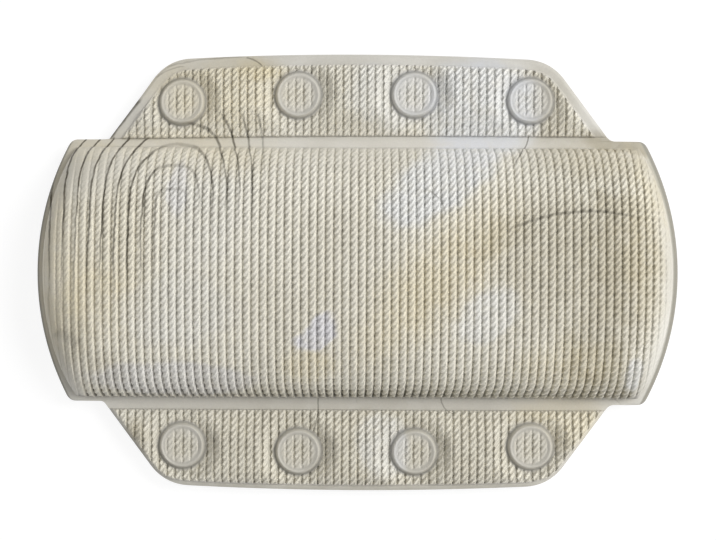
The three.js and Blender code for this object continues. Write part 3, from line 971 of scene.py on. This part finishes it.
def pillow_front():
    """Crowned front skin with the embossed knit, its smooth rim, and a hollow underneath."""
    surface = Surface()
    points, place, room = front_grid()
    u, v = place[..., 0], place[..., 1]
    from_end, from_side = room[..., 0], room[..., 1]
    upper = v > 0
    left_width, right_width = UPPER_EASE_WIDTHS
    upper_width = left_width + (right_width - left_width) * smooth(*RIGHT_EASE, u)
    upper_share = smooth(UPPER_EASE_START, upper_width, from_side) * rising(*UPPER_SHARE, from_side)
    lower_share = smooth(*LOWER_EASE, from_side) * (1 + fading(*LOWER_DEEPER, from_side))
    worn_corner = 1 - fading(*CORNER_WEAR_X, u) * smooth(*CORNER_WEAR_Y, v)
    full = crown_share(points[..., 1] / FIELD_HALF, SIDE_FORM)
    end_start, end_width = (low + more * full for low, more in (END_WEAR_START, END_WEAR_WIDTH))
    worn_end = smooth(end_start, end_width, from_end)
    worn_end = worn_end + FAINT_KNIT * (1 - worn_end) * smooth(*FAINT_EASE, from_end)
    share = worn_end * np.where(upper, upper_share, lower_share) * worn_corner * rising(*LEFT_SHARE, u)
    strand = np.where(upper, rising(*UPPER_STRAND, from_side), 1.0) * rising(*LEFT_STRAND, u)
    relief = knit(u, v, strand)
    points = points + normals(points) * ((relief + KNIT_RISE) * share)[..., None]
    points[0, :, 2] = points[-1, :, 2] = RIM_TOP
    # Painted shade along the lower foot and in its grooves, and painted light on the upper rows
    groove = np.clip(-relief / ROPE_DEPTH, 0, 1)
    lower_crease = fading(*FOOT_PAINTED_SHADE, from_side) + groove * fading(*GROOVE_PAINTED_SHADE, from_side)
    crease = np.where(upper, fading(*UPPER_PAINTED_LIGHT, from_side), lower_crease)
    edge = surface.grid(points, sheet=np.dstack((place, share)), crease=crease, strand=strand)
    field = points.reshape(-1, 3)[edge]
    outline = pillow_outline(field)
    inner = field + RIM_START * (outline - field)
    beside = beside_band(outline)
    loops = [inner]
    for out, drop in RIM_SECTION:
        lowered = beside * out * (RIM_TOP - BAND_TOP) + (1 - beside) * drop
        loops.append(at_height(field + out * (outline - field), RIM_TOP - lowered))
    top = surface.chain(edge, loops)
    surface.hard.append(top)
    underside = FILM_TOP + SKIN_GAP
    last = surface.chain(top, [at_height(outline, underside), at_height(inner, underside)])
    lining = coarse_field(LINING_CELLS, SHEET_THICKNESS, SHEET_BOTTOM, HOLLOW, front_rise)
    surface.sew(last, surface.grid(lining, down=True))
    return surface


def pillow_back():
    """Shallow dish of plain film with a flat resting area."""
    surface = Surface()
    dish = coarse_field(BACK_CELLS, 0, FILM_BOTTOM, -FILM_BOTTOM, back_rise)
    edge = backwards(surface.grid(dish, down=True))
    field = dish.reshape(-1, 3)[edge]
    outline = pillow_outline(field)
    loops = [at_height(field + out * (outline - field), FILM_BOTTOM) for out in BACK_RIM]
    loops += [at_height(outline, FILM_BOTTOM + BACK_EDGE_ROUND), at_height(outline, FILM_TOP)]
    loops.append(at_height(loops[0], FILM_TOP))
    last = surface.chain(edge, loops)
    lining = coarse_field(LINING_CELLS, FILM_TOP - FILM_BOTTOM, FILM_TOP, -FILM_BOTTOM, back_rise)
    surface.sew(last, backwards(surface.grid(lining)))
    return surface


def foam_filling():
    """Foam that follows the hollow between the two skins."""
    surface = Surface()
    inset = SHEET_THICKNESS + GAP
    front = coarse_field(FOAM_CELLS, inset, SHEET_BOTTOM, HOLLOW - GAP, front_rise)
    back = coarse_field(FOAM_CELLS, inset, FILM_TOP, GAP - FILM_BOTTOM, back_rise)
    surface.slab(front, back)
    return surface


# The flaps


def cup_centres(side):
    """Plan places of one flap's cups."""
    boxes = [box_mm(f"suction_cup_{side}_{number}") for number in range(1, 5)]
    return [(low + high)[:2] / 2 for low, high in boxes]


def curve(start, control, end, count=CORNER_STEPS):
    """Points along such a curve, its ends too."""
    return on_curve(np.linspace(0, 1, count)[:, None], start, control, end)


def resample(line, count):
    """The same line with count points an even distance apart."""
    line = line[np.append(True, step_lengths(line) > TINY)]
    length = travelled(step_lengths(line))
    at = np.linspace(0, length[-1], count)
    return np.column_stack((np.interp(at, length, line[:, 0]), np.interp(at, length, line[:, 1])))


def flap_sides(start):
    """Right side and right half of the free edge of the upper flap, parted half way round the corner."""
    base = np.array([flap_half_width(start), start])
    corner = np.array([FLAP_EDGE_WIDTH / 2, FREE_EDGE - FLAP_EDGE_BOW])
    along_side = (base - corner) / np.linalg.norm(base - corner)
    along_edge = np.array([-1, 2 * FLAP_EDGE_BOW / corner[0]])
    along_edge = along_edge / np.linalg.norm(along_edge)
    turn = np.pi - np.arccos(along_side @ along_edge)
    reach = FLAP_CORNER_RADIUS * math.tan(turn / 2)
    bend = curve(corner + along_side * reach, corner, corner + along_edge * reach, CORNER_STEPS + 1)
    x = np.linspace(bend[-1][0], 0, EDGE_STEPS)
    share = (x / bend[-1][0]) ** 2
    edge = np.column_stack((x, FREE_EDGE + (bend[-1][1] - FREE_EDGE) * share))
    half = CORNER_STEPS // 2
    return np.vstack((base, bend[:half + 1])), np.vstack((bend[half:], edge[1:]))


def mirrored(half):
    """A whole line from its right half, which ends in the middle."""
    return np.vstack((half, (half * MIRROR)[-2::-1]))


def flap_grid(columns, rows, start):
    """A grid over the upper flap in plan that follows its outline, from its base at start."""
    side, half_edge = flap_sides(start)
    top = resample(mirrored(half_edge), columns + 1)[::-1]
    right = resample(side, rows + 1)
    left = right * MIRROR
    base = np.linspace(left[0], right[0], columns + 1)
    s = np.linspace(0, 1, columns + 1)[None, :, None]
    t = np.linspace(0, 1, rows + 1)[:, None, None]
    corners = (1 - t) * ((1 - s) * left[0] + s * right[0]) + t * ((1 - s) * left[-1] + s * right[-1])
    return (1 - t) * base[None] + t * top[None] + (1 - s) * left[:, None] + s * right[:, None] - corners


def hung(plan, side):
    """The same places with the flap's left end let down towards the pillow, least at its free edge."""
    start = FLAP_BASE[side]
    along = np.clip((HANG_FROM - plan[..., 0]) / HANG_RUN, 0, 1) ** HANG_POWER
    up = np.clip((plan[..., 1] - start) / (FREE_EDGE - start), 0, 1)
    drop = HANG[side] * along * (1 - up ** HANG_STOP_POWER)
    return np.stack((plan[..., 0], plan[..., 1] - drop), axis=-1)


def edge_distance(plan, start):
    """Distance from each place on the upper flap to its slanted sides and free edge."""
    side, half_edge = flap_sides(start)
    line = resample(mirrored(np.vstack((side, half_edge[1:]))), OUTLINE_STEPS)
    start, step = line[:-1], np.diff(line, axis=0)
    length2 = (step ** 2).sum(axis=1)
    nearest = np.full(plan.shape[:-1], np.inf)
    for (x, y), (dx, dy), size in zip(start, step, length2):
        along = np.clip(((plan[..., 0] - x) * dx + (plan[..., 1] - y) * dy) / size, 0, 1)
        gap = np.hypot(plan[..., 0] - x - along * dx, plan[..., 1] - y - along * dy)
        nearest = np.minimum(nearest, gap)
    return nearest


def flap_front(side, turn):
    """Embossed sheet of one flap with its smooth rim and the weld ring over each cup."""
    surface = Surface()
    start = FLAP_BASE[side]
    plan = flap_grid(FLAP_COLUMNS, FLAP_ROWS, start)
    rim_width = FLAP_RIM_WIDTH
    if side == "lower":
        widening = smooth(*LOWER_RIM_EASE, plan[..., 1])
        rim_width = LOWER_SIDE_RIM + (LOWER_EDGE_RIM - LOWER_SIDE_RIM) * widening
    from_edge = edge_distance(plan, start)
    room = from_edge - rim_width
    from_base = plan[..., 1] - start
    pad = swell(PAD_EASE, room)
    base = BASE_SHARE + (1 - BASE_SHARE) * swell(BASE_EASE, from_base)
    puff = PUFF * swell(PUFF_EASE, room) * smooth(PUFF_START, PUFF_BASE_EASE, from_base)
    height = (SHEET_TOP - RIM_TOP) * pad * base + puff
    placed = hung(plan, side) * turn
    mask = FLAP_KNIT * smooth(*FLAP_KNIT_EASE, room) * smooth(*FLAP_KNIT_BASE, from_base)
    # Painted shade: darker at the flap's base, on the discs and in lines round each ring
    crease = fading(*BASE_PAINTED_SHADE, from_base)
    for centre in cup_centres(side):
        r = np.linalg.norm(plan * turn - centre - RING_SHIFT[side], axis=2)
        dimple = fading(DIMPLE_SHARE, VALLEY_RADIUS, DIMPLE_WIDTH, r)
        disc = fading(1, RING_RADIUS, VALLEY_RADIUS - RING_RADIUS, r)
        height = height * (1 - dimple) * (1 - disc) + DISC_HEIGHT * disc
        height = height + RING_HEIGHT * ridge(RING_RADIUS, RING_SPREAD, r)
        height = height - VALLEY_DEPTH * ridge(VALLEY_RADIUS, VALLEY_SPREAD, r)
        crease = crease + DISC_PAINTED_SHADE * disc
        for strength, middle, spread in RING_PAINTED_SHADES:
            crease = crease + strength * ridge(middle, spread, r)
        inside = fading(*DISC_KNIT, r) + fading(*MIDDLE_KNIT, r)
        mask = mask * np.maximum(inside, smooth(*OUTER_KNIT_EASE, r))
    height = height - EDGE_ROUND * (1 - smooth(0.0, EDGE_ROUND_WIDTH, from_edge)) ** 2
    height = height - (1 - pad) * fading(*BAND_DROP, from_base)
    z = RIM_TOP + height + mask * (knit(placed[..., 0], placed[..., 1], 1.0) + KNIT_RISE)
    points = at_height(placed, z)
    edge = surface.grid(points, sheet=np.dstack((placed, mask)), crease=crease)
    rim = points.reshape(-1, 3)[edge]
    middle = np.array([0, (start + FREE_EDGE) / 2 * turn, 0])
    outward = (rim - middle) * np.array([1, 1, 0])
    lip = rim + FLAP_LIP * outward / np.linalg.norm(outward, axis=1, keepdims=True)
    lip_top = np.minimum(rim[:, 2], RIM_TOP) - FLAP_LIP
    last = surface.chain(edge, [at_height(lip, lip_top), at_height(lip, FILM_TOP + SKIN_GAP)])
    under = hung(flap_grid(*FLAP_LINING_CELLS, start), side) * turn
    surface.sew(last, surface.grid(at_height(under, SHEET_BOTTOM), down=True))
    return surface


def flap_back(side, turn):
    """Plain film behind a flap."""
    surface = Surface()
    plan = hung(flap_grid(*FLAP_FILM_CELLS, FLAP_BASE[side]), side) * turn
    surface.slab(at_height(plan, FILM_TOP), at_height(plan, FILM_BOTTOM))
    return surface


def band_half_length(y, fold):
    """Half length of a hinge band at height y, round the inside corner between pillow and flap."""
    reach = BAND_HALF_LENGTH - flap_half_width(fold)
    side = np.array([-FLAP_SLANT, 1]) / math.hypot(FLAP_SLANT, 1)
    notch = np.array([flap_half_width(fold), fold])
    bend = curve(notch + np.array([reach, 0]), notch, notch + side * reach)
    beyond = flap_half_width(y)
    inside = np.interp(y, bend[:, 1], bend[:, 0])
    slanted = BAND_HALF_LENGTH + GAP - BAND_CLEARANCE + y - (BAND_INNER - GAP)
    return np.where(y <= fold, slanted, np.where(y < bend[-1][1], inside, beyond))


def hinge_band(side, turn):
    """Fused strip between the pillow and a flap, slightly hollow across."""
    surface = Surface()
    inner, outer = BAND_INNER - GAP + SKIN_GAP, FLAP_BASE[side] - SKIN_GAP
    folds = fold_edge(-turn, turn), fold_edge(turn, turn)
    rows = np.linspace(inner, outer, BAND_ROWS)
    y = np.unique(np.concatenate((rows, folds, np.add(folds, FOLD_STEP))))
    s = np.linspace(-1, 1, BAND_COLUMNS)
    left, right = (band_half_length(y, fold)[:, None] for fold in folds)
    plan = np.stack((np.where(s < 0, left, right) * s, np.repeat(y[:, None], len(s), axis=1)), axis=2)
    beyond = np.clip((plan[..., 1:] - max(folds)) / (outer - max(folds)), 0, 1)
    plan = plan + beyond * (hung(plan, side) - plan)
    across = (y - inner) / (outer - inner)
    hollow = BAND_HOLLOW * np.sin(np.pi * across[:, None]) ** 2 * (1 - smooth(*BAND_END_EASE, np.abs(s)))
    upper = at_height(plan * turn, BAND_TOP - hollow)
    lower = at_height(plan * turn, BAND_BOTTOM + hollow)
    surface.hard.append(surface.slab(upper, lower, BAND_LIGHTENING))
    return surface


# Suction cups

LIP_WIDTH = 1.6
LIP_THICKNESS = 0.8
CUP_HOLLOW = 7.2
BELL_FLARE = 1.6
HOLLOW_FLARE = 1.8
NECK_RADIUS = 4
FLANGE_RADIUS = 10.6
BELL_INSET = 0.25
LIP_EASE = 0.05
LIP_ROUND = 0.2
LIP_FOOT = 0.3
FLANGE_ROUND = 0.3
FLANGE_FOOT = 0.2


def cup_profile(radius, top):
    """Radius and height round half of a cup's section, from the flange over the bell to the hollow."""
    bell_top = FILM_BOTTOM - GAP
    flange = [
        (FLANGE_RADIUS - FLANGE_ROUND, top),
        (FLANGE_RADIUS, top - FLANGE_ROUND),
        (FLANGE_RADIUS, SHEET_BOTTOM + FLANGE_FOOT),
        (FLANGE_RADIUS - FLANGE_FOOT, SHEET_BOTTOM),
        (NECK_RADIUS, SHEET_BOTTOM),
    ]
    share = np.linspace(0, 1, BELL_STEPS)
    bell_z = LIP_THICKNESS + (bell_top - LIP_THICKNESS) * (1 - share ** BELL_FLARE)
    bell = np.column_stack((NECK_RADIUS + (radius - BELL_INSET - NECK_RADIUS) * share, bell_z))
    lip = [
        (radius - LIP_EASE, LIP_THICKNESS - LIP_ROUND),
        (radius, LIP_THICKNESS - 2 * LIP_ROUND),
        (radius - LIP_EASE, LIP_ROUND / 2),
        (radius - LIP_FOOT, 0),
    ]
    share = np.linspace(1, 0, HOLLOW_STEPS)[:-1]
    hollow = np.column_stack(((radius - LIP_WIDTH) * share, CUP_HOLLOW * (1 - share ** HOLLOW_FLARE)))
    return np.vstack((flange, bell, lip, hollow))


def suction_cup(node):
    """Moulded cup: a bell with a flat lip, a neck through the film and a flange behind it."""
    low, high = box_mm(node)
    centre = (low + high) / 2
    profile = cup_profile((high[0] - low[0]) / 2, high[2])
    angle = np.arange(ROUND_STEPS) * 2 * np.pi / ROUND_STEPS
    ring = np.column_stack((np.cos(angle), np.sin(angle)))
    surface = Surface()
    loops = [at_height(centre[:2] + r * ring, z) for r, z in profile]
    first = surface.add(loops[0])
    last = surface.chain(first, loops[1:])
    top = surface.add([[centre[0], centre[1], high[2]]])
    bottom = surface.add([[centre[0], centre[1], CUP_HOLLOW]])
    surface.faces.append(np.column_stack((first, np.roll(first, -1), np.full(ROUND_STEPS, top[0]))))
    surface.faces.append(np.column_stack((np.roll(last, -1), last, np.full(ROUND_STEPS, bottom[0]))))
    return surface


# Putting the pieces on the frame

front_vinyl = marbled_vinyl("front_vinyl", roughness=0.52)
weld_vinyl = marbled_vinyl("weld_vinyl", roughness=0.42)
film_vinyl = back_film_vinyl()
foam = foam_material()
clear_vinyl = cup_vinyl()


def seat(surface, name, material, body, slot, *nodes):
    """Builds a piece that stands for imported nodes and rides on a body."""
    obj = surface.build(name, material)
    if body:
        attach(obj, body)
    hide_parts(*nodes)
    return obj


front = seat(
    pillow_front(), "pillow_front_skin", front_vinyl, "pillow", "front_vinyl", "pillow_front_cover"
)
filling = seat(foam_filling(), "foam_filling", foam, "pillow", "foam", "foam_core")
back = seat(pillow_back(), "pillow_back_film", film_vinyl, "pillow", "back_film", "pillow_back_cover")

for side, turn in (("upper", 1), ("lower", -1)):
    body = f"{side}_flap"
    sheet = seat(
        flap_front(side, turn), f"{side}_flap_sheet", front_vinyl, body, "front_vinyl", f"{side}_flap_front"
    )
    film = seat(
        flap_back(side, turn), f"{side}_flap_film", film_vinyl, body, "back_film", f"{side}_flap_back"
    )
    band = seat(
        hinge_band(side, turn), f"{side}_hinge_strip", weld_vinyl, None, "weld_vinyl", f"{side}_hinge_band"
    )
    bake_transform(band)
    for number in range(1, 5):
        node = f"suction_cup_{side}_{number}"
        cup = seat(suction_cup(node), f"clear_cup_{side}_{number}", clear_vinyl, body, "cup_vinyl", node)
        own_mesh(cup)


# Floor, light and camera

PHOTO_WIDTH = 716
PHOTO_HEIGHT = 540
OBJECT_PIXEL = (357.6, 272.4)
MM_PER_PIXEL = 0.5555
CAMERA_ROLL = 0.25
SENSOR_WIDTH = 36
FLOOR_HALF = 4.0
FLOOR_GLOW = 0.86
FLOOR_BOUNCE = colour(232, 232, 232)
FLOOR_SHADE = colour(126, 126, 126)
WORLD_LIGHT = 0.31
WORLD_SEEN = 1.0
# Soft boxes: place and size in metres, and power in watts
LAMPS = {
    "key": ((1.55, 0.7, 1.7), 1.2, 43.5),
    "left_fill": ((-2.0, 0.3, 1.5), 1.6, 11),
    "low_fill": ((1.0, -0.8, 0.6), 0.6, 5.2),
}


def floor_material():
    """White ground that shows white to the camera and still takes the object's shadow."""
    graph = Graph(bpy.data.materials.new("white_ground"))
    path = graph.add("ShaderNodeLightPath")
    seen = graph.most(path.outputs["Is Camera Ray"], path.outputs["Is Glossy Ray"])
    seen = graph.most(seen, path.outputs["Is Transmission Ray"])
    plain = graph.add("ShaderNodeBsdfDiffuse", {"Color": FLOOR_BOUNCE})
    shade = graph.add("ShaderNodeBsdfDiffuse", {"Color": FLOOR_SHADE})
    glow = graph.add("ShaderNodeEmission", {"Strength": FLOOR_GLOW})
    lifted = graph.add("ShaderNodeAddShader", {0: shade.outputs[0], 1: glow.outputs[0]})
    mixed = graph.add("ShaderNodeMixShader", {0: seen, 1: plain.outputs[0], 2: lifted.outputs[0]})
    graph.add("ShaderNodeOutputMaterial", {"Surface": mixed.outputs[0]})
    return graph.owner


def floor():
    corners = [(x * FLOOR_HALF, y * FLOOR_HALF, 0) for x, y in ((-1, -1), (1, -1), (1, 1), (-1, 1))]
    mesh = bpy.data.meshes.new("floor")
    mesh.from_pydata(corners, [], [(0, 1, 2, 3)])
    mesh.materials.append(floor_material())
    obj = bpy.data.objects.new("floor", mesh)
    bpy.context.scene.collection.objects.link(obj)


def lamp(name, place, size, power):
    """A square soft box aimed at the middle of the part."""
    data = bpy.data.lights.new(name, "AREA")
    data.energy = power
    data.size = size
    obj = bpy.data.objects.new(name, data)
    obj.location = place
    toward = -obj.location
    obj.rotation_euler = toward.to_track_quat("-Z", "Y").to_euler()
    bpy.context.scene.collection.objects.link(obj)


def world():
    """Even white surroundings, white to the camera."""
    graph = Graph(bpy.data.worlds.new("studio"))
    seen = graph.add("ShaderNodeLightPath").outputs["Is Camera Ray"]
    strength = graph.add("ShaderNodeMapRange", {"Value": seen, "To Min": WORLD_LIGHT, "To Max": WORLD_SEEN})
    background = graph.add("ShaderNodeBackground", {"Strength": strength.outputs[0]})
    graph.add("ShaderNodeOutputWorld", {"Surface": background.outputs[0]})
    bpy.context.scene.world = graph.owner


def camera():
    """Looks straight down on the front, from as far as the photo's slight perspective shows."""
    data = bpy.data.cameras.new("camera")
    data.sensor_width = SENSOR_WIDTH
    data.lens = SENSOR_WIDTH * CAMERA_DISTANCE / MM_PER_PIXEL / PHOTO_WIDTH
    obj = bpy.data.objects.new("camera", data)
    x = (PHOTO_WIDTH / 2 - OBJECT_PIXEL[0]) * MM_PER_PIXEL
    y = (OBJECT_PIXEL[1] - PHOTO_HEIGHT / 2) * MM_PER_PIXEL
    obj.location = (x * MM, y * MM, (RIM_TOP + CAMERA_DISTANCE) * MM)
    obj.rotation_euler = (0, 0, math.radians(CAMERA_ROLL))
    bpy.context.scene.collection.objects.link(obj)
    bpy.context.scene.camera = obj


floor()
for name, (place, size, power) in LAMPS.items():
    lamp(name, place, size, power)
world()
camera()
bpy.context.scene.view_settings.view_transform = "Standard"
